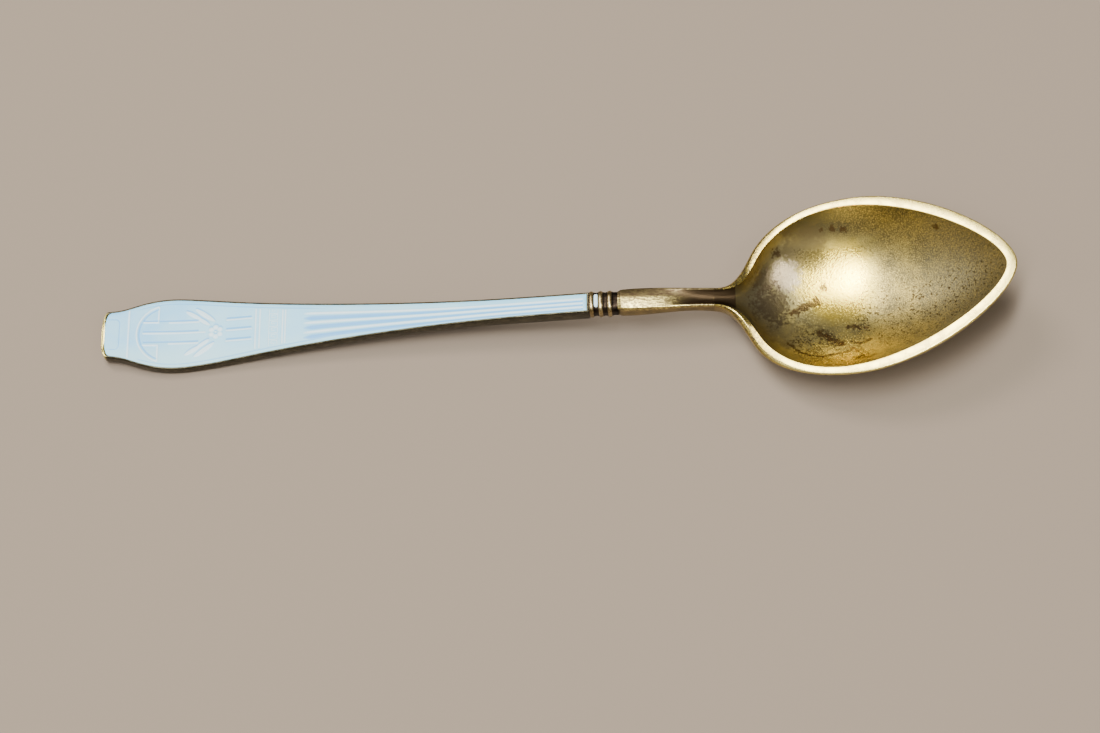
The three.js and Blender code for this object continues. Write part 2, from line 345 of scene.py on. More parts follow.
outer_half = half_width_of(NECK_OUTER_PLAN, OUTER_PLAN)
inner_half = half_width_of(NECK_INNER_PLAN, INNER_PLAN)


def outer_height(x, y):
    """The underside: boxy with upright sides in the neck, round and open in the bowl."""
    top = edge_z(x) - outer_round(x)
    share = bowl_share(x)
    power = NECK_BOXINESS + (1 - NECK_BOXINESS) * share
    drop = section_drop(y / np.maximum(outer_half(x), 1e-6), power, BOWL_OPEN_ANGLE * share)
    return np.maximum(top - (top - underside_z(x)) * drop, 0)


def inner_height(x, y, floor):
    """The inside: a shallow channel in the neck, and a deep round hollow in the bowl."""
    top = edge_z(x) - inner_round(x)
    open_angle = CHANNEL_OPEN_ANGLE + (BOWL_OPEN_ANGLE - CHANNEL_OPEN_ANGLE) * bowl_share(x)
    drop = section_drop(y / np.maximum(inner_half(x), 1e-6), 1, open_angle)
    return top - (top - floor(x)) * drop


# ---- The bowl and neck: shapes ----

ACROSS = np.cos(np.linspace(0, math.pi, 57))
ROUND_STEPS = 6


def both_sides(half):
    """A half outline to the tip, carried back along the other side."""
    mirrored = half[::-1][1:] * (1, -1)
    return np.vstack([half, mirrored])


def outward(outline):
    """Unit normals of an open outline in plan, pointing away from the middle line."""
    along = np.gradient(outline, axis=0)
    normal = np.stack([-along[:, 1], along[:, 0]], axis=1)
    normal /= np.linalg.norm(normal, axis=1)[:, None]
    return normal


def rim_rows(outer, inner):
    """Rows of points over the rim, from the outer wall's top edge to the inner wall's."""
    quarter = np.linspace(0, math.pi / 2, ROUND_STEPS + 1)
    outer_side = (outer, -outward(outer), outer_round(outer[:, 0]), quarter)
    inner_side = (inner, outward(inner), inner_round(inner[:, 0]), quarter[::-1])
    rows = []
    for outline, onto_rim, radius, angles in (outer_side, inner_side):
        for angle in angles:
            plan = outline + onto_rim * (radius * (1 - math.cos(angle)))[:, None]
            z = edge_z(outline[:, 0]) - radius * (1 - math.sin(angle))
            rows.append(np.column_stack([plan, z]))
    return rows


def section_row(x, y, height):
    """Points across a section at x, at the heights that a function gives."""
    return lifted(np.column_stack([np.full_like(y, x), y]), height)


def lifted(plan, height):
    """Points in plan, at the heights that a function gives."""
    return np.column_stack([plan, height(plan[:, 0], plan[:, 1])])


def channel_height(x, y):
    return inner_height(x, y, channel_floor_z)


def dish_height(x, y):
    return inner_height(x, y, dish_floor_z)


def across_rows(solid, outline, edge, count, height):
    """Rows of numbers across the spoon, each from one side of an edge row to the other."""
    made = []
    for k in range(count):
        row = section_row(outline[k, 0], outline[k, 1] * ACROSS, height)
        made.append(np.concatenate([[edge[k]], solid.add(row[1:-1]), [edge[-1 - k]]]))
    return made


def make_bowl(materials):
    """The hollow, the rim and the underside as one closed shell."""
    inside, rim, outside = 0, 1, 2
    divisions = [30, 34, 70]
    outer = both_sides(bezier_chain(OUTER_PLAN, divisions))
    inner = both_sides(bezier_chain(INNER_PLAN, divisions))
    last = len(outer) - 1
    widest = divisions[0] + divisions[1]
    solid = Solid()

    rows = [solid.add(row) for row in rim_rows(outer, inner)]
    wall_top, hollow_top = rows[0], rows[-1]
    solid.skin(rows, rim)

    # The underside: rows across from the neck to the widest station, then a fan to the tip.
    middle = len(ACROSS) // 2
    underside = across_rows(solid, outer, wall_top, widest + 1, outer_height)
    solid.skin(underside, outside)
    centre = np.array([BOWL_WIDEST_X, 0])
    fan = [underside[-1][: middle + 1]]
    for k in range(widest + 1, last - widest):
        plan = centre + ACROSS[1:middle, None] * (outer[k] - centre)
        numbers = solid.add(lifted(plan, outer_height))
        fan.append(np.concatenate([[wall_top[k]], numbers, [underside[-1][middle]]]))
    fan.append(underside[-1][::-1][: middle + 1])
    solid.skin(fan, outside)

    # The channel's end, as far as the crease where the hollow falls away.
    crease = int(np.searchsorted(inner[: divisions[0], 0], CREASE_X))
    channel = across_rows(solid, inner, hollow_top, crease + 1, channel_height)
    solid.skin(channel, inside)
    solid.crease(channel[-1])

    # The hollow: spokes from its edge to the middle of the bowl.
    edge = np.concatenate([hollow_top[crease : last - crease + 1], channel[-1][::-1][1:-1]])
    edge_points = np.vstack(solid.points)[edge]
    spokes = []
    hub = solid.add([(*centre, float(dish_floor_z(centre[0])))])[0]
    for number, point in zip(edge, edge_points):
        reach = ACROSS[1:middle, None]
        spoke = lifted(centre + reach * (point[:2] - centre), dish_height)
        # Near the crease the spokes start on the channel's curve, not on the dish's.
        spoke[:, 2] += (point[2] - dish_height(*point[:2])) * smoothstep(reach[:, 0], 0.9, 1)
        numbers = solid.add(spoke)
        spokes.append(np.concatenate([[number], numbers, [hub]]))
    spokes.append(spokes[0])
    solid.skin(spokes, inside)

    # The cut at the shoulders, where the neck joins.
    near_rim = [row[last] for row in rows[1:]]
    far_rim = [row[0] for row in rows[:0:-1]]
    solid.cap([*underside[0], *near_rim, *channel[0][-2:0:-1], *far_rim], outside)
    place(solid, "bowl_shell", materials, "bowl", "gilt_bowl")


def neck_top_z(x, y):
    """The neck's top: crowned beside the collar, then hollowed into the channel."""
    half = outer_half(x)
    share = np.abs(y) / half
    start = np.clip((x - NECK_X) / (CHANNEL_START_X - NECK_X), 0, 1)
    crown = CROWN_HEIGHT * (1 - start**2) * (1 - share**2)
    hollow = channel_depth(x) * (x > CHANNEL_START_X)
    channel = hollow * section_drop(y / inner_half(x), 1, CHANNEL_OPEN_ANGLE)
    radius = outer_round(x)
    inset = np.clip(half - np.abs(y), 0, radius)
    eased = radius - np.sqrt(np.maximum(radius**2 - (radius - inset) ** 2, 0))
    return edge_z(x) + crown - np.maximum(channel, 0) * (np.abs(y) < inner_half(x)) - eased


def make_neck(materials):
    """The neck from the collar to the bowl's shoulders, as one closed bar."""
    stations = 90
    across_top = np.cos(np.linspace(math.pi, 0, 81))[1:-1]
    loops = []
    for x, half in bezier_chain(NECK_OUTER_PLAN, [stations]):
        under = section_row(x, half * ACROSS, outer_height)
        top = section_row(x, half * across_top, neck_top_z)
        loops.append(np.vstack([under, top]))
    loops = np.array(loops)
    # The end beside the collar is eased all round.
    end_ease, ease_length = 0.12, 0.35
    from_end = smoothstep(loops[:, :1, 0], NECK_X, NECK_X + ease_length)
    ease = end_ease * (1 - from_end)[:, :, None]
    middle = loops.mean(axis=1, keepdims=True)
    towards = middle - loops
    towards[:, :, 0] = 0
    distance = np.maximum(np.linalg.norm(towards, axis=2, keepdims=True), 1e-6)
    solid = Solid()
    solid.tube(loops + towards / distance * ease)
    place(solid, "neck_bar", materials, "neck", "gilt_neck")


# ---- The handle: outline and tray ----

handle_top_z = smooth_profile([
    (-48.3, 2.05), (-43, 1.62), (-38.5, 1.3), (-30.3, 1.8), (-12.3, 3.5), (5.98, 4.92),
])
handle_half_width = smooth_profile([
    (-48.3, 2.58), (-47.3, 2.6), (-45.3, 2.8), (-43.3, 3.42), (-40.3, 4.0), (-37.3, 3.88),
    (-32.3, 3.23), (-24.3, 2.31), (-16.3, 1.66), (-8.3, 1.26), (0, 1.12), (5.98, 1.1),
])


def bowed_share(x, start):
    """The share of its full half width that an outline has reached beyond its bowed end."""
    across = 1 - np.clip((x - start) / END_BOW, 0, 1)
    return (1 - across**END_SQUARENESS) ** (1 / END_SQUARENESS)


def plate_half(x):
    return handle_half_width(x) * bowed_share(x, END_X)


def tray_half(x):
    return (handle_half_width(x) - HANDLE_RIM) * bowed_share(x, ENAMEL_START_X)


def plate_stations():
    """Places along the plate: before the tray, along the tray and beyond it."""
    end = END_X + end_bow(np.array([END_FLAT_SHARE, 0.5, 0.62, 0.72, 0.8]))
    shares = [END_FLAT_SHARE, 0.45, 0.55, 0.65, 0.74, 0.82, 0.88, 0.93, 0.965, 0.985, 1]
    body = np.linspace(ENAMEL_START_X + END_BOW + 0.05, ENAMEL_END_X, 240)
    tray = np.concatenate([ENAMEL_START_X + end_bow(np.array(shares)), body])
    return end[end < tray[0]], tray, np.linspace(ENAMEL_END_X + 0.01, PLATE_END_X, 4)


def plate_loop(x, tray_depth):
    """The plate's section at x: eased bottom edges, upright sides and a rounded rim."""
    least_rim, rim_flat, tray_edge, end_drop = 0.1, 0.03, 0.02, 0.12
    half = float(plate_half(x))
    inner = min(float(tray_half(x)), half - least_rim) if tray_depth else half - HANDLE_RIM
    rim = min(half - inner, HANDLE_RIM) - rim_flat
    top = float(handle_top_z(x)) - end_drop * (1 - float(smoothstep(x, END_X, END_X + 0.3)))
    towards_neck = float(smoothstep(x, -16, ENAMEL_END_X))
    thick = HANDLE_THICK + (HANDLE_NECK_THICK - HANDLE_THICK) * towards_neck
    turns = [(1 - math.sin(a), 1 - math.cos(a)) for a in np.linspace(0, math.pi / 2, 7)]
    near = [(-half + HANDLE_BOTTOM_ROUND * s, thick - HANDLE_BOTTOM_ROUND * c) for s, c in turns]
    near += [(-half + rim * c, HANDLE_RIM_ROUND * s) for s, c in turns]
    near += [(-inner, tray_edge), (-inner, tray_edge + tray_depth)]
    side = np.array([(x, y, max(top - depth, 0)) for y, depth in near])
    return np.vstack([side, side[::-1] * (1, -1, 1)])


def make_handle_plate(materials):
    """The handle's metal, with the tray that holds the enamel."""
    end, tray, inner_end = plate_stations()
    loops = [plate_loop(x, 0) for x in end]
    loops += [plate_loop(x, TRAY_DEPTH) for x in tray]
    loops += [plate_loop(x, 0) for x in inner_end]
    solid = Solid()
    solid.tube(loops)
    place(solid, "handle_tray", materials, "handle_plate", "handle_metal")


# ---- The ornament, as relief in the enamel's top ----


def beside_line(x, y, start, end):
    """Places along a line, 0 to 1 between its ends, with distances across it and its length."""
    start, end = np.array(start, float), np.array(end, float)
    length = np.hypot(*(end - start))
    towards_x, towards_y = (end - start) / length
    along = ((x - start[0]) * towards_x + (y - start[1]) * towards_y) / length
    across = (y - start[1]) * towards_x - (x - start[0]) * towards_y
    return along, across, length


def strokes(x, y, points, half_width):
    """A raised line through a list of points."""
    height = np.zeros_like(x)
    for start, end in zip(points[:-1], points[1:]):
        along, across, length = beside_line(x, y, start, end)
        beyond = (along - np.clip(along, 0, 1)) * length
        height = np.maximum(height, ridge(np.hypot(across, beyond), half_width))
    return height


def leaf(x, y, root, tip, half_width):
    """A pointed, domed leaf from its root to its tip, with a vein along it."""
    along, across, _ = beside_line(x, y, root, tip)
    width = half_width * np.sqrt(np.clip(4 * along * (1 - along), 0, 1)) + 1e-6
    dome = np.sqrt(np.clip(1 - (across / width) ** 2, 0, 1)) * (along > 0) * (along < 1)
    vein = 0.35 * ridge(across, 0.06)
    return dome * (1 - vein)


# Where the ornament's parts lie along the handle.
PANEL_X = -45.4
BAR_X = -44.45
FRAME_START_X = -42.9
FRET_X = -41.35
CIRCLE_X = -40.3
ROSETTE_X = -35.25
LINE_HALF_WIDTH = 0.17
LINE_PLACES = (1.25, 0.05, -1.15)


def tip_panel(x, y):
    """A shallow line that rounds off the plain panel at the handle's end."""
    half, corner = 1.7, 0.5
    beyond_x = np.maximum(x - (PANEL_X - corner), 0)
    beyond_y = np.maximum(np.abs(y) - (half - corner), 0)
    reach = np.hypot(beyond_x, beyond_y)
    return -0.5 * ridge(reach - corner, 0.09) * (x > ENAMEL_START_X + 0.25)


def round_frame(x, y):
    """Two arcs of a ring, open towards the bowl, that end in squared frets."""
    radius = np.hypot(x - CIRCLE_X, y)
    arcs = ridge(radius - 3.3, 0.16) - 0.6 * ridge(radius - 3.02, 0.14)
    height = arcs * (x < FRET_X)
    for side in (1, -1):
        hook = [(-42.95, 1.3 * side), (FRET_X, 1.3 * side), (FRET_X, 3.05 * side)]
        hooked = strokes(x, y, hook, LINE_HALF_WIDTH)
        height = height + hooked * (1 - np.clip(np.abs(height), 0, 1))
    return height


def long_lines(x, y):
    """Three raised lines along the handle, broken by the spray and its rosette."""
    height, groove = np.zeros_like(x), np.zeros_like(x)
    gap_start, gap_stop, stop = -37.1, -34.1, -31.4
    starts = ((-40.2, gap_start), (FRAME_START_X, -36.4), (-40.2, gap_start))
    inside = (x > FRAME_START_X) * (x < stop) * ((x < gap_start) + (x > gap_stop))
    for across, first in zip(LINE_PLACES, starts):
        for low, high in (first, (gap_stop, stop)):
            line = strokes(x, y, [(low, across), (high, across)], LINE_HALF_WIDTH)
            height = np.maximum(height, line)
        groove = np.maximum(groove, ridge(y - across - 0.24, 0.13) * inside)
    return height - 0.7 * groove


def leaf_spray(x, y):
    """Three leaves a side, opening towards the handle's end from a rosette of six petals."""
    height = np.zeros_like(x)
    leaves = np.array([
        [(-36.75, 1.45), (-38.5, 2.5)], [(-35.35, 1.2), (-37.5, 2.75)], [(-35.9, 0.8), (-37.3, 1.75)],
    ])
    for side in (1, -1):
        for (root, tip), half_width in zip(leaves * (1, side), (0.27, 0.3, 0.24)):
            height = np.maximum(height, leaf(x, y, root, tip, half_width))
    petals, petal_reach, petal_radius = 6, 0.52, 0.33
    for i in range(petals):
        turn = 2 * math.pi * (i + 0.5) / petals
        from_x = x - ROSETTE_X - petal_reach * math.cos(turn)
        petal = np.hypot(from_x, y - petal_reach * math.sin(turn))
        height = np.maximum(height, np.sqrt(np.clip(1 - (petal / petal_radius) ** 2, 0, 1)))
    boss = np.hypot(x - ROSETTE_X, y)
    return np.maximum(height * smoothstep(boss, 0.14, 0.26), ridge(boss, 0.18))


def key_band(x, y):
    """A band of square keys across the handle, between two pairs of bars."""
    limit = handle_half_width(x) - HANDLE_RIM - 0.5
    height = np.maximum.reduce([ridge(x - bar, 0.17) for bar in (-30.95, -30.5, -28.05, -27.75)])
    height = height - 0.8 * ridge(x + 30.17, 0.13) - 0.8 * ridge(x + 27.48, 0.13)
    pitch, low, deep, half_width = 0.74, -29.5, 0.92, 0.085
    key = [(0, 0), (0, 1), (0.78, 1), (0.78, 0.3), (0.4, 0.3), (0.4, 0.64)]
    for i in range(-3, 3):
        corners = [(low + deep * across, pitch * (i + 0.1 + along)) for along, across in key]
        base = [(low, pitch * i), (low, pitch * (i + 1))]
        for points in (corners, base):
            height = np.maximum(height, strokes(x, y, points, half_width) * 0.9)
    return height * (1 - smoothstep(np.abs(y), limit - 0.1, limit))


def long_ribs(x, y):
    """Three flutes that start in round tongues, with a crest along the far side of each."""
    half = handle_half_width(x) - HANDLE_RIM
    start, stop, pitch = -25.9, ENAMEL_END_X - 0.3, 0.49
    lean = 0.06 - 0.16 * smoothstep(x, start, -8)
    grow = np.sqrt(np.clip((x - start) / 1.0, 0, 1)) * (1 - smoothstep(x, stop - 0.12, stop))
    crest, hollow = np.zeros_like(x), np.zeros_like(x)
    for number in (-1, 0, 1):
        line = (pitch * number + lean) * half
        crest = np.maximum(crest, ridge(y - line, 0.17 + 0.05 * half))
        width = 0.42 * pitch * half * np.maximum(grow, 0.05)
        hollow = np.maximum(hollow, ridge(y - line + pitch * half / 2, width))
    return (crest - 0.8 * hollow) * grow


def border_line(x, y):
    """A fine line that follows the tray's edge."""
    inset = handle_half_width(x) - HANDLE_RIM - np.abs(y)
    inside = smoothstep(x, -44, -43) * (1 - smoothstep(x, -26, -22))
    return -0.45 * ridge(inset - 0.36, 0.1) * inside


def ornament(x, y):
    """The height of the whole ornament, about -0.8 to 1."""
    height = tip_panel(x, y) + 0.8 * ridge(x - BAR_X, 0.2)
    spray = leaf_spray(x, y)
    shaded = 0.6 * leaf_spray(x, y - 0.16) * (1 - np.clip(spray, 0, 1))
    height = height + round_frame(x, y) + long_lines(x, y) + spray - shaded
    height = height + key_band(x, y) + border_line(x, y)
    return np.clip(height, -0.8, 1.05)


RELIEF_HEIGHT = 0.045
RIB_HEIGHT = 0.03
DOME_HEIGHT = 0.05
GLASS_EDGE_DEPTH = 0.045
MENISCUS_RISE = 0.025
MENISCUS_WIDTH = 0.22
GLASS_OVERLAP = 0.004
GLASS_UNDER = 0.02


def enamel_stations():
    """Places along the glass: close together over the ornament and at both ends."""
    fine_stop, end_start = -25, ENAMEL_END_X - 0.6
    tip = ENAMEL_START_X + end_bow(np.linspace(END_FLAT_SHARE, 1, 15))
    fine = np.arange(ENAMEL_START_X + END_BOW + 0.03, fine_stop, 0.045)
    coarse = np.arange(fine_stop, end_start, 0.12)
    return np.concatenate([tip, fine, coarse, np.arange(end_start, ENAMEL_END_X, 0.03)])


def make_handle_enamel(materials):
    """The glass fill: a slightly domed top over the ornament, and plain sides and bottom."""
    v = np.linspace(1, -1, 151)
    stations = enamel_stations()
    x = np.repeat(stations[:, None], len(v), axis=1)
    half = tray_half(x) + GLASS_OVERLAP
    y = v * half
    inset = half - np.abs(y)
    ends = np.minimum(x - ENAMEL_START_X, ENAMEL_END_X - x)
    meniscus = smoothstep(np.minimum(inset, ends), 0, MENISCUS_WIDTH)
    pattern, ribs = ornament(x, y) * meniscus, long_ribs(x, y) * meniscus
    dome = DOME_HEIGHT * (1 - v**2) * meniscus
    z = handle_top_z(x) - GLASS_EDGE_DEPTH + MENISCUS_RISE * meniscus + dome
    z = z + RELIEF_HEIGHT * pattern + RIB_HEIGHT * ribs
    solid = Solid()
    top = solid.add(np.stack([x, y, z], axis=-1))
    bottom_z = handle_top_z(stations) - TRAY_DEPTH - GLASS_UNDER
    far = solid.add(np.column_stack([stations, half[:, 0], bottom_z]))
    near = solid.add(np.column_stack([stations, -half[:, 0], bottom_z]))
    solid.skin(top)
    solid.skin([far, near])
    for edge, bottom in ((top[:, 0], far), (top[:, -1], near)):
        solid.skin([edge, bottom])
        solid.crease(edge)
    for end in (0, -1):
        solid.cap([*top[end], near[end], far[end]])
    plain = np.zeros(2 * len(stations))
    depth = np.concatenate([(pattern + ribs).ravel(), plain])
    place(solid, "enamel_fill", materials, "handle_enamel", "enamel", {"relief": depth})


# ---- The collar ----

RING_NODES = ["collar_ring_1", "collar_ring_2", "collar_ring_3"]


def oval_loop(x, half_width, half_height, count=96):
    """A squarish oval across the spoon at x, centred on the tang."""
    angle = np.linspace(0, 2 * math.pi, count, endpoint=False)
    cosine, sine = np.cos(angle), np.sin(angle)
    y = half_width * np.sign(cosine) * np.abs(cosine) ** OVAL_SQUARENESS
    z = TANG_Z + half_height * np.sign(sine) * np.abs(sine) ** OVAL_SQUARENESS
    return np.column_stack([np.full_like(y, x), y, z])


def centre_and_half(node):
    """The middle of a node's box and half its size, in millimetres."""
    low, high = box_mm(node)
    return (low + high) / 2, (high - low) / 2


def make_ring(node, materials):
    """A half-round ring, turned as a closed band threaded on the tang."""
    (middle_x, _, _), (half, half_width, half_height) = centre_and_half(node)
    bulge, roundness, grip, last_step = 0.12, 0.8, 0.04, 16
    loops = []
    for angle in np.linspace(0, math.pi, last_step + 1):
        inward = bulge * (1 - math.sin(angle) ** roundness)
        x = middle_x - half * math.cos(angle)
        loops.append(oval_loop(x, half_width - inward, half_height - inward))
    for x in (middle_x + half, middle_x - half):
        loops.append(oval_loop(x, TANG_HALF_WIDTH - grip, TANG_HALF_HEIGHT - grip))
    solid = Solid()
    numbers = solid.add(loops)
    solid.skin(np.concatenate([numbers, numbers[:1]]), closed=True)
    for row in (numbers[0], numbers[last_step]):
        solid.crease([*row, row[0]])
    name = node.replace("collar_ring", "ring_band")
    place(solid, name, materials, node, "collar_metal")


def make_tang(materials):
    """The dark bar under the rings, with hollowed grooves between them."""
    clearance, groove_depth = 0.01, 0.05
    loops = []
    rings = [centre_and_half(node)[0][0] for node in RING_NODES]
    for x in np.linspace(PLATE_END_X - 0.05, NECK_X + 0.02, 120):
        nearest = min(abs(x - ring) for ring in rings)
        inward = clearance + groove_depth * float(smoothstep(nearest, 0.2, 0.42))
        loops.append(oval_loop(x, TANG_HALF_WIDTH - inward, TANG_HALF_HEIGHT - inward))
    solid = Solid()
    solid.tube(loops)
    place(solid, "tang_bar", materials, "handle_plate", "handle_metal")


def make_collar_enamel(materials):
    """A pillow of enamel across the top of the tang, between the first two rings."""
    (x_middle, _, _), (x_half, y_half, _) = centre_and_half("collar_enamel")
    squareness, bottom, wall_top, pillow, overlap = 5, 0.4, 0.06, 0.1, 0.03
    angle = np.linspace(0, 2 * math.pi, 48, endpoint=False)
    cosine, sine = np.cos(angle), np.sin(angle)
    square = (np.abs(cosine) ** squareness + np.abs(sine) ** squareness) ** (-1 / squareness)
    steps = [(bottom, 0.0), (wall_top, 0.0)]
    for turn in np.linspace(0.3, math.pi / 2, 7):
        steps.append((wall_top - pillow * math.sin(turn), 1 - math.cos(turn)))
    rows = []
    for depth, inward in steps:
        x = x_middle + (x_half + overlap - 0.14 * inward) * square * cosine
        y = (y_half - 0.2 * inward) * square * sine
        round_top = (1 - np.abs(y / TANG_HALF_WIDTH) ** 3) ** (1 / 3)
        rows.append(np.column_stack([x, y, TANG_Z + TANG_HALF_HEIGHT * round_top - depth]))
    solid = Solid()
    numbers = solid.add(rows)
    solid.skin(numbers, closed=True)
    solid.cap(numbers[0])
    solid.face(numbers[-1])
    place(solid, "collar_fill", materials, "collar_enamel", "enamel")


# ---- Materials ----

PATCH_CORE = 0.55
PATCH_EDGE = 1.05


def put(tree, socket, value):
    """Feeds an input from another node's output, or sets its plain value."""
    if isinstance(value, bpy.types.NodeSocket):
        tree.links.new(value, socket)
    else:
        socket.default_value = value


def add_node(tree, kind, inputs=None, **settings):
    """A new shader node with the given inputs and settings."""
    node = tree.nodes.new("ShaderNode" + kind)
    for key, value in settings.items():
        setattr(node, key, value)
    for key, value in (inputs or {}).items():
        put(tree, node.inputs[key], value)
    return node


class Look:
    """A node material with one Principled shader, and short ways to add detail to it."""

    def __init__(self, name, **settings):
        self.material = bpy.data.materials.new(name)
        self.material.use_nodes = True
        self.tree = self.material.node_tree
        self.tree.nodes.clear()
        self.shader = self.node("BsdfPrincipled")
        self.node("OutputMaterial", {"Surface": self.shader.outputs[0]})
        self.set(**settings)
        self.place = self.scaled(self.node("TexCoord").outputs["Object"], 1 / MM)

    def node(self, kind, inputs=None, **settings):
        return add_node(self.tree, kind, inputs, **settings)

    def set(self, **inputs):
        """Sets the shader's inputs by name."""
        for key, value in inputs.items():
            put(self.tree, self.shader.inputs[key.replace("_", " ")], value)

    def noise(self, scale, detail=4, roughness=0.6, stretch=(1, 1, 1)):
        """Noise with features about 1 / scale millimetres across."""
        place = self.node("Mapping", {"Vector": self.place, "Scale": stretch}).outputs[0]
        inputs = {"Vector": place, "Scale": scale, "Detail": detail, "Roughness": roughness}
        return self.node("TexNoise", inputs).outputs[0]

    def range(self, value, low, high, to_low=0.0, to_high=1.0, smooth=True):
        """Carries a value from one range to another, held at both ends."""
        inputs = dict(enumerate((value, low, high, to_low, to_high)))
        kind = "SMOOTHSTEP" if smooth else "LINEAR"
        return self.node("MapRange", inputs, interpolation_type=kind).outputs[0]

    def vector(self, operation, first, second, output="Value"):
        node = self.node("VectorMath", {0: first, 1: second}, operation=operation)
        return node.outputs[output]

    def scaled(self, vector, scale):
        return self.node("VectorMath", {0: vector, "Scale": scale}, operation="SCALE").outputs[0]

    def maths(self, operation, *values):
        return self.node("Math", dict(enumerate(values)), operation=operation).outputs[0]

    def times(self, first, second):
        return self.maths("MULTIPLY", first, second)

    def most(self, first, second):
        return self.maths("MAXIMUM", first, second)

    def mix(self, factor, first, second):
        return self.node("Mix", {0: factor, 6: first, 7: second}, data_type="RGBA").outputs[2]

    def patch(self, distance, radius, noise, wobble):
        """1 within a radius and softly 0 beyond it, with a ragged edge from the noise."""
        share = self.maths("DIVIDE", distance, radius)
        if noise is not None:
            ragged = self.maths("MULTIPLY_ADD", noise, 2 * wobble, -wobble)
            share = self.maths("ADD", share, ragged)
        return self.range(share, PATCH_CORE, PATCH_EDGE, 1.0, 0.0)

    def spot(self, centre, radius, noise=None, wobble=0.6):
        """A soft patch round a point in millimetres."""
        return self.patch(self.vector("DISTANCE", self.place, centre), radius, noise, wobble)

    def streak(self, start, end, radius, noise, wobble):
        """A soft line between two points in millimetres."""
        start, end = Vector(start), Vector(end)
        along = end - start
        offset = self.vector("SUBTRACT", self.place, start, "Vector")
        reach = self.vector("DOT_PRODUCT", offset, along)
        share = self.maths("DIVIDE", reach, along.length_squared)
        share = self.range(share, 0, 1, smooth=False)
        away = self.vector("DISTANCE", offset, self.scaled(along, share))
        return self.patch(away, radius, noise, wobble)

    def axis(self, name):
        return self.node("SeparateXYZ", {0: self.place}).outputs[name]

    def tint(self, mask, color, share=None):
        """Lays a colour over what is there, as far as a mask and a share of it say."""
        if share is not None:
            mask = self.times(mask, share)
        self.color = self.mix(mask, self.color, color)

    def finish(self, roughness, height, depth_mm):
        """Connects the colour, a roughness and a bump, and gives the material."""
        bump = self.node("Bump", {"Strength": 1, "Distance": depth_mm * MM, "Height": height})
        self.set(Base_Color=self.color, Roughness=roughness, Normal=bump.outputs[0])
        return self.material


def rgb(red, green, blue):
    """A colour from 0-255 screen values, in the linear values that a node takes."""
    linear = []
    for value in (red, green, blue):
        c = value / 255
        linear.append(c / 12.92 if c <= 0.04045 else ((c + 0.055) / 1.055) ** 2.4)
    return (*linear, 1)


GILT = rgb(230, 210, 128)
GILT_BRIGHT = rgb(255, 222, 84)
GILT_DULL = rgb(180, 168, 120)
# Rubbed gilt on the bowl's rim, and the painted highlight at the handle's end.
GILT_WEAR_AND_HIGHLIGHT = rgb(250, 230, 134)
GILT_GRAIN = rgb(224, 198, 106)
GILT_COOL = rgb(238, 216, 172)
SHOULDER_GOLD = rgb(196, 174, 88)
WALL_OLIVE = rgb(156, 140, 82)
WALL_DARK = rgb(98, 92, 68)
HEEL_OLIVE = rgb(122, 114, 92)
TIP_DULL = rgb(146, 138, 110)
NECK_OLIVE = rgb(118, 104, 70)
# A darker olive for painted shade on the sides.
SIDE_SHADE_GOLD = rgb(140, 122, 80)
# A brown used as tarnish on the rim and as painted shade at the heel.
TARNISH_AND_SHADE = rgb(104, 90, 68)
CHANNEL_BROWN = rgb(84, 69, 50)
STAIN_BROWN = rgb(106, 80, 50)
STAIN_DARK = rgb(84, 62, 40)
PIT_BROWN = rgb(74, 60, 40)
BRONZE = rgb(88, 84, 66)
BRONZE_DARK = rgb(54, 51, 39)
RING_GILT = rgb(186, 168, 122)
RING_DARK = rgb(120, 102, 68)
GROOVE_BROWN = rgb(60, 50, 40)
GROOVE_DARK = rgb(26, 20, 16)
ENAMEL_BLUE = rgb(132, 206, 248)
ENAMEL_PALE = rgb(150, 218, 248)
ENAMEL_GREEN = rgb(182, 230, 238)
ENAMEL_DEEP = rgb(88, 172, 238)
ENAMEL_PALEST = rgb(240, 253, 255)
CHIP_BROWN = rgb(60, 58, 46)
FLOOR_BEIGE = rgb(136, 122, 106)

# Patches and marks inside the bowl, as places and radii in millimetres: painted highlight, painted
# reflection and painted shade, then stains.
# Where the bowl's painted highlight lies: a brighter, yellower gold.
PAINTED_HIGHLIGHT_SPOT = ((30, 2.8, 1.2), 5.5)
# A painted reflection of a cool window on the heel.
HEEL_SHEEN = ((24.3, 3.2, 2.1), 2.0)
# Painted shade over the far heel wall.
FAR_HEEL = ((26.6, 6, 2.8), 3.0)
# Painted shade patches at the heel.
HEEL_PATCHES = [
    ((22.9, 0.1, 2), 2.5, 0.8), ((22.2, 2.6, 2.4), 1.7, 0.6), ((24, -3, 2), 2.4, 0.4),
]
CRACKLE_PATCHES = [((27, -4.8, 2.2), 3.4), ((31, -6.6, 3.4), 2.6)]
BOWL_BLOTS = [
    ((29.35, 7.5, 3.8), 0.42), ((30.5, 7.4, 3.84), 0.42), ((28.2, 7.4, 3.9), 0.3),
    ((39.8, 5.8, 6.9), 0.4), ((42, 5.3, 7.8), 0.25), ((28.3, 2.1, 1.1), 0.5),
    ((23.6, 5.3, 3.2), 0.6),
]
BOWL_STREAKS = [
    ((24.9, -0.6, 1.3), (27.5, 0.7, 1.0), 0.42),
    ((27.6, -3, 1.4), (29.8, -4.6, 1.9), 0.4),
    ((29.8, -4.6, 1.9), (31.2, -5.6, 2.6), 0.3),
    ((30.6, -2.4, 1.2), (32.4, -2.7, 1.4), 0.3),
]
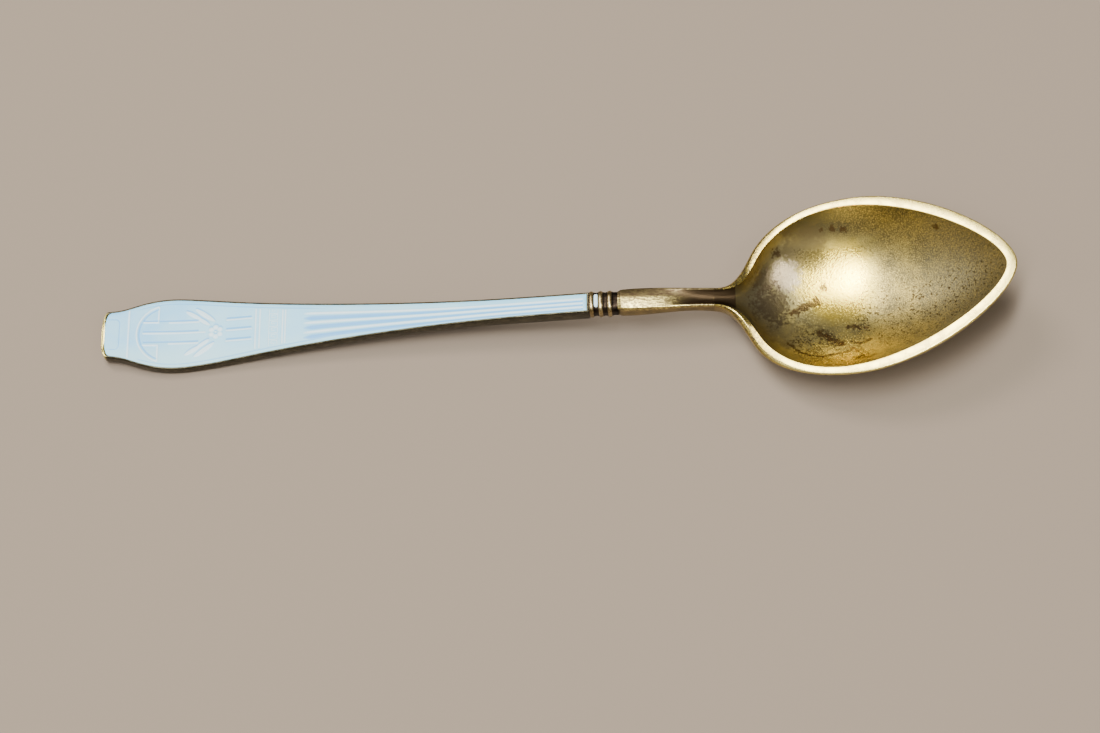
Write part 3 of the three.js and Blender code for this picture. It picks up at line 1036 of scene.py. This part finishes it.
# Fine dark cracks low on the near wall, as places in plan.
BOWL_CRACKS = [
    [(24.3, -4.5), (25.6, -5.8), (27.4, -6.4), (28.6, -6.1), (30.6, -5.7)],
    [(30.4, -8.05), (32, -8), (33.6, -7.75)],
    [(31.1, -7.1), (31.7, -6.6), (32.3, -7.1), (33, -6.7)],
    [(30.8, -4.4), (31.7, -4.7), (32.8, -4.2)],
]
CRACK_WIDTH = 0.2


def on_bowl(x, y):
    """The point of the hollow at a place in plan."""
    return x, y, float(dish_height(x, y))


def gilding_with_painted_light(look, cloud, along, across):
    """Gilding with a painted highlight in the middle, painted shade up the far wall and on the tip
    side, and dull towards the tip.
    """
    look.color = look.mix(look.range(cloud, 0.35, 0.7), GILT_DULL, GILT)
    # Painted highlight: brighter, yellower gold where the overhead light's highlight falls.
    look.tint(look.spot(*PAINTED_HIGHLIGHT_SPOT, cloud, 0.3), GILT_BRIGHT)
    # Painted shade: darker olive up the far wall and towards the tip side, where the gilding reflects
    # the dim room.
    wall = look.most(look.range(across, 5.5, 7.5), look.range(along, 30.5, 35, 0.0, 0.9))
    look.tint(wall, look.mix(look.range(cloud, 0.3, 0.7), WALL_DARK, WALL_OLIVE))
    look.tint(look.range(across, 6.2, 8, 0.0, 0.9), WALL_DARK)
    look.tint(look.range(along, 36, 42, 0.0, 0.8), TIP_DULL)


def add_grain(look, along, across):
    """Fine light and dark grain towards the tip, and small dark pits along the middle."""
    fine = look.noise(9, 2, 0.5)
    grainy = look.range(along, 27, 34)
    look.tint(look.range(fine, 0.5, 0.66, 0.0, 0.6), GILT_GRAIN, grainy)
    look.tint(look.range(fine, 0.5, 0.34, 0.0, 0.5), PIT_BROWN, grainy)
    pits = look.range(look.noise(4, 2, 0.5), 0.58, 0.63)
    cluster = look.range(look.noise(0.9, 4, 0.6), 0.38, 0.5)
    from_middle = look.maths("ABSOLUTE", look.maths("ADD", across, 2.0))
    middle = look.range(from_middle, 2.5, 5.5, 1.0, 0.1)
    pitted = look.times(look.range(along, 29, 33), look.times(middle, cluster))
    look.tint(pits, PIT_BROWN, pitted)


def add_heel(look, cloud, ragged, along):
    """The heel darkened with painted shade in patches round one paler painted reflection, and painted
    shade at the channel's end.
    """
    # Painted shade: darker olive towards the heel, in patches, and darker still on the far heel wall.
    look.tint(look.range(along, 25.5, 21.5, 0.0, 0.9), HEEL_OLIVE)
    look.tint(look.spot(*FAR_HEEL, cloud, 0.8), NECK_OLIVE, 0.75)
    # Painted reflection: a paler, cooler patch where the heel reflects a window.
    look.tint(look.spot(*HEEL_SHEEN, ragged, 1.2), GILT_COOL)
    for centre, radius, share in HEEL_PATCHES:
        look.tint(look.spot(centre, radius, ragged, 1.8), TARNISH_AND_SHADE, share)
    # Painted shade in the crease at the channel's end.
    look.tint(look.range(along, CREASE_X, CREASE_X + 0.15, 1.0, 0.0), CHANNEL_BROWN)


def add_stains(look, ragged):
    """Crackled patches, then blots, streaks and fine cracks."""
    crackle = look.maths("ABSOLUTE", look.maths("SUBTRACT", look.noise(1.3, 5, 0.6), 0.5))
    crackle = look.range(crackle, 0.012, 0.035, 1.0, 0.0)
    patch = look.most(*[look.spot(centre, radius) for centre, radius in CRACKLE_PATCHES])
    look.tint(look.times(crackle, patch), STAIN_DARK, 0.9)
    for centre, radius in BOWL_BLOTS:
        look.tint(look.spot(centre, radius, ragged, 2.2), STAIN_DARK, 0.8)
    for start, end, radius in BOWL_STREAKS:
        look.tint(look.streak(start, end, radius, ragged, 3.4), STAIN_BROWN, 0.85)
    broken = look.noise(5, 4, 0.7)
    for points in BOWL_CRACKS:
        for start, end in zip(points[:-1], points[1:]):
            crack = look.streak(on_bowl(*start), on_bowl(*end), CRACK_WIDTH, broken, 2.6)
            look.tint(crack, STAIN_DARK, 0.8)


def bowl_inside():
    """Satin gilding with painted highlight, reflection and shade, rougher towards the tip and up the
    far wall, with grain and stains.
    """
    look = Look("bowl_inside", Metallic=1.0)
    grain = look.noise(4.4, 3, 0.6)
    cloud = look.noise(0.5, 5, 0.65)
    ragged = look.noise(2.2, 6, 0.75)
    along, across = look.axis("X"), look.axis("Y")
    gilding_with_painted_light(look, cloud, along, across)
    add_grain(look, along, across)
    add_heel(look, cloud, ragged, along)
    add_stains(look, ragged)
    to_tip = look.range(along, 31, 36.5, 0.2, 0.48)
    satin = look.most(to_tip, look.range(across, 5, 7.5, 0.19, 0.42))
    satin = look.most(satin, look.range(along, 27.5, 24.5, 0.2, 0.28))
    roughness = look.maths("ADD", satin, look.range(grain, 0.3, 0.7, 0, 0.08))
    return look.finish(roughness, grain, 0.02)


def bowl_rim():
    """Gilding rubbed bright by use, browner round the shoulders."""
    look = Look("bowl_rim", Metallic=1.0)
    wear = look.noise(1.1, 4, 0.6)
    look.color = look.mix(look.range(look.noise(5, 4, 0.7), 0.42, 0.6), SHOULDER_GOLD, TARNISH_AND_SHADE)
    rubbed = look.mix(look.range(wear, 0.35, 0.65), GILT_WEAR_AND_HIGHLIGHT, GILT)
    look.tint(look.range(look.axis("X"), 20.5, 26), rubbed)
    return look.finish(look.range(wear, 0.35, 0.7, 0.22, 0.3), look.noise(12, 4, 0.7), 0.004)


def neck_side_color(look, cloud):
    # Painted shade: the darker colour of the shaded sides.
    return look.mix(look.range(cloud, 0.4, 0.65), SIDE_SHADE_GOLD, NECK_OLIVE)


def bowl_outside():
    """Scuffed gilding that takes the neck's darker side colour, painted shade, at the shoulders."""
    look = Look("bowl_outside", Metallic=1.0)
    cloud = look.noise(0.3, 5, 0.6)
    scuff = look.noise(6, 5, 0.7, (0.3, 1, 1))
    look.color = look.mix(look.range(cloud, 0.35, 0.7), GILT_DULL, GILT)
    # Painted shade: the neck's darker side colour, carried onto the shoulders.
    look.tint(look.range(look.axis("X"), 20, 17), neck_side_color(look, cloud))
    return look.finish(look.range(scuff, 0.3, 0.7, 0.22, 0.38), scuff, 0.004)


def neck_gilt():
    """Gilding with a painted highlight on the near half and near edge beside the collar, and painted
    shade in the channel and on the sides.
    """
    look = Look("neck_gilt", Metallic=1.0)
    cloud = look.noise(0.8, 5, 0.65)
    speckle = look.noise(6, 5, 0.75, (0.5, 1, 1))
    scuff = look.noise(5, 4, 0.7, (0.25, 1, 1))
    along, across, height = (look.axis(name) for name in "XYZ")
    look.color = look.mix(look.range(scuff, 0.4, 0.6), NECK_OLIVE, CHANNEL_BROWN)
    # Painted highlight: a brighter gold band on the near half and along the near edge.
    near_edge = look.range(across, -0.86, -0.96)
    near_half = look.times(look.range(across, 0.25, 0), look.range(along, 15, 11))
    bright = look.mix(look.range(speckle, 0.4, 0.56), GILT, NECK_OLIVE)
    look.tint(look.most(near_half, near_edge), bright)
    # Painted shade: the darker side colour below the top.
    look.tint(look.range(height, 4.85, 4.35), neck_side_color(look, cloud))
    # Painted shade: dark brown in the channel.
    channel = look.times(look.range(along, 12.2, 15.2), look.range(height, 4.1, 4.2))
    inside = look.range(look.maths("ABSOLUTE", across), 0.7, 0.85, 1.0, 0.0)
    look.tint(channel, CHANNEL_BROWN, inside)
    return look.finish(look.range(scuff, 0.3, 0.7, 0.3, 0.44), speckle, 0.016)


def aged_metal(name, bright, dark, rough, extra_tint=None):
    """Gilt metal that has browned, brighter where a painted highlight is added."""
    look = Look(name, Metallic=1.0)
    wear = look.noise(2.2, 5, 0.7, (0.5, 1, 1))
    fine = look.noise(14, 4, 0.7)
    look.color = look.mix(look.range(wear, 0.38, 0.66), dark, bright)
    if extra_tint:
        extra_tint(look)
    return look.finish(look.range(fine, 0.3, 0.7, rough - 0.08, rough + 0.12), fine, 0.006)


def paint_end_highlight(look):
    """Painted highlight: bright gilding round the rim of the handle's end, most on its near side."""
    end = look.range(look.axis("X"), END_X + 0.25, END_X + 0.75, 1.0, 0.0)
    high = look.range(look.axis("Z"), 1.2, 1.6)
    near = look.range(look.axis("Y"), 2.2, 0.2, 0.2, 1.0)
    # Painted highlight on the end's upper rim.
    look.tint(look.times(end, high), GILT_WEAR_AND_HIGHLIGHT, near)


def enamel(name, thin, deep, chip=None, paler=0.0):
    """Pale blue glass: paler over raised ornament, partly as thinner glass and partly as a painted
    highlight, and bluer in hollows, partly as deeper glass and partly as painted shade.
    """
    look = Look(name, Metallic=0.0, Roughness=0.3, IOR=1.5, Specular_IOR_Level=0.3)
    look.color = look.mix(look.range(look.axis("X"), -46, -30), ENAMEL_BLUE, ENAMEL_PALE)
    look.tint(look.range(look.noise(0.25, 3, 0.5), 0.35, 0.65, 0.0, 0.4), ENAMEL_GREEN)
    # Painted reflection: greener and paler towards the near side.
    look.tint(look.range(look.axis("Y"), -0.5, -3.5, 0.0, 0.7), ENAMEL_GREEN)
    # Painted highlight: a paler, whiter share where the glass reflects the overhead light.
    look.tint(paler, ENAMEL_PALEST)
    if thin:
        # Partly painted light: pale on raised relief as thin glass and painted highlight, blue in
        # hollows as deep glass and painted shade.
        relief = look.node("Attribute", attribute_name="relief").outputs["Fac"]
        look.tint(look.range(relief, 0.0, -0.7, 0.0, deep), ENAMEL_DEEP)
        look.tint(look.range(relief, 0.05, 0.95, 0.0, thin), ENAMEL_PALEST)
    if chip:
        look.tint(look.spot(*chip, look.noise(6, 3), 0.5), CHIP_BROWN)
    look.set(Base_Color=look.color)
    return look.material


# ---- The spoon ----

make_bowl([bowl_inside(), bowl_rim(), bowl_outside()])
make_neck([neck_gilt()])
ring_gilt = aged_metal("ring_gilt", RING_GILT, RING_DARK, 0.28)
for node in RING_NODES:
    make_ring(node, [ring_gilt])
make_tang([aged_metal("groove_dark", GROOVE_BROWN, GROOVE_DARK, 0.42)])
# The collar's glass is made paler as a painted highlight.
make_collar_enamel([enamel("collar_enamel_look", 0, 0, paler=0.6)])
# Dark bronze for the handle: partly its own tarnish, partly painted shade for its dim sides.
make_handle_plate([aged_metal("handle_gilt", BRONZE, BRONZE_DARK, 0.3, paint_end_highlight)])
chip = ((-26.6, -2.05, 2.3), 0.16)
make_handle_enamel([enamel("handle_enamel_look", 0.7, 0.9, chip)])


# ---- Floor, light and camera ----

WARM = (1.0, 0.96, 0.9)
NEUTRAL = (1.0, 1.0, 1.0)
ROOM_RAMP = [(0.0, (0.3, 0.28, 0.24, 1)), (0.8, (0.22, 0.21, 0.19, 1))]
LAMP_TURN = 18


def make_floor():
    size = 3.0
    look = Look("pale_floor", Roughness=0.85, Base_Color=FLOOR_BEIGE)
    mesh = bpy.data.meshes.new("floor")
    corners = [(-size, -size, 0), (size, -size, 0), (size, size, 0), (-size, size, 0)]
    mesh.from_pydata(corners, [], [(0, 1, 2, 3)])
    mesh.materials.append(look.material)
    new_object("floor", mesh)


def softbox(name, direction, distance, width, length, power, color, turn=0):
    """A rectangular light that faces the spoon's middle, its length along Y turned towards X."""
    data = bpy.data.lights.new(name, "AREA")
    data.shape = "RECTANGLE"
    data.size, data.size_y = width, length
    data.energy = power
    data.color = color
    toward = Vector(direction).normalized()
    lengthwise = Vector((math.sin(math.radians(turn)), math.cos(math.radians(turn)), 0))
    crosswise = lengthwise.cross(toward).normalized()
    axes = Matrix((crosswise, toward.cross(crosswise), toward)).transposed().to_4x4()
    new_object(name, data).matrix_world = Matrix.Translation(toward * distance) @ axes


def make_world():
    """A dim grey room, a little lighter near the horizon than overhead."""
    world = bpy.data.worlds.new("room")
    world.use_nodes = True
    tree = world.node_tree
    tree.nodes.clear()
    coordinates = add_node(tree, "TexCoord")
    parts = add_node(tree, "SeparateXYZ", {0: coordinates.outputs["Generated"]})
    ramp = add_node(tree, "ValToRGB", {0: parts.outputs["Z"]})
    for element, (position, color) in zip(ramp.color_ramp.elements, ROOM_RAMP):
        element.position = position
        element.color = color
    background = add_node(tree, "Background", {"Color": ramp.outputs[0], "Strength": 1.0})
    add_node(tree, "OutputWorld", {"Surface": background.outputs[0]})
    bpy.context.scene.world = world


def make_camera():
    """Above the spoon and a little to its near right, rolled as the spoon lies in the picture."""
    azimuth, elevation, roll = (math.radians(a) for a in (11.35, 66, -12.8))
    target = Vector((-0.3, -4.73, -0.5)) * MM
    distance = 279.8 * MM
    level = Vector((math.sin(azimuth), -math.cos(azimuth), 0))
    back = level * math.cos(elevation) + Vector((0, 0, math.sin(elevation)))
    right = Vector((math.cos(azimuth), math.sin(azimuth), 0))
    up = back.cross(right)
    turned_right = right * math.cos(roll) + up * math.sin(roll)
    turned_up = up * math.cos(roll) - right * math.sin(roll)
    data = bpy.data.cameras.new("camera")
    data.sensor_width = 36
    data.lens = 88.4
    data.clip_start = 0.01
    camera = new_object("camera", data)
    turn = Matrix((turned_right, turned_up, back)).transposed().to_4x4()
    camera.matrix_world = Matrix.Translation(target + back * distance) @ turn
    bpy.context.scene.camera = camera


make_floor()
make_world()
softbox("overhead", (-0.06, -0.12, 1), 0.6, 0.08, 0.52, 3.8, NEUTRAL, LAMP_TURN)
softbox("lamp", (-0.04, -0.1, 1), 0.59, 0.05, 0.24, 2.2, NEUTRAL, LAMP_TURN)
softbox("key", (-0.33, 0.38, 0.85), 0.6, 0.24, 0.16, 2.1, WARM)
softbox("window", (0.54, -0.2, 0.82), 0.6, 0.07, 0.16, 0.36, WARM)
softbox("low_left", (-0.8, -0.2, 0.55), 0.7, 0.5, 0.5, 0.8, NEUTRAL)
softbox("front", (0.25, -0.8, 0.55), 0.7, 0.6, 0.35, 0.5, WARM)
make_camera()
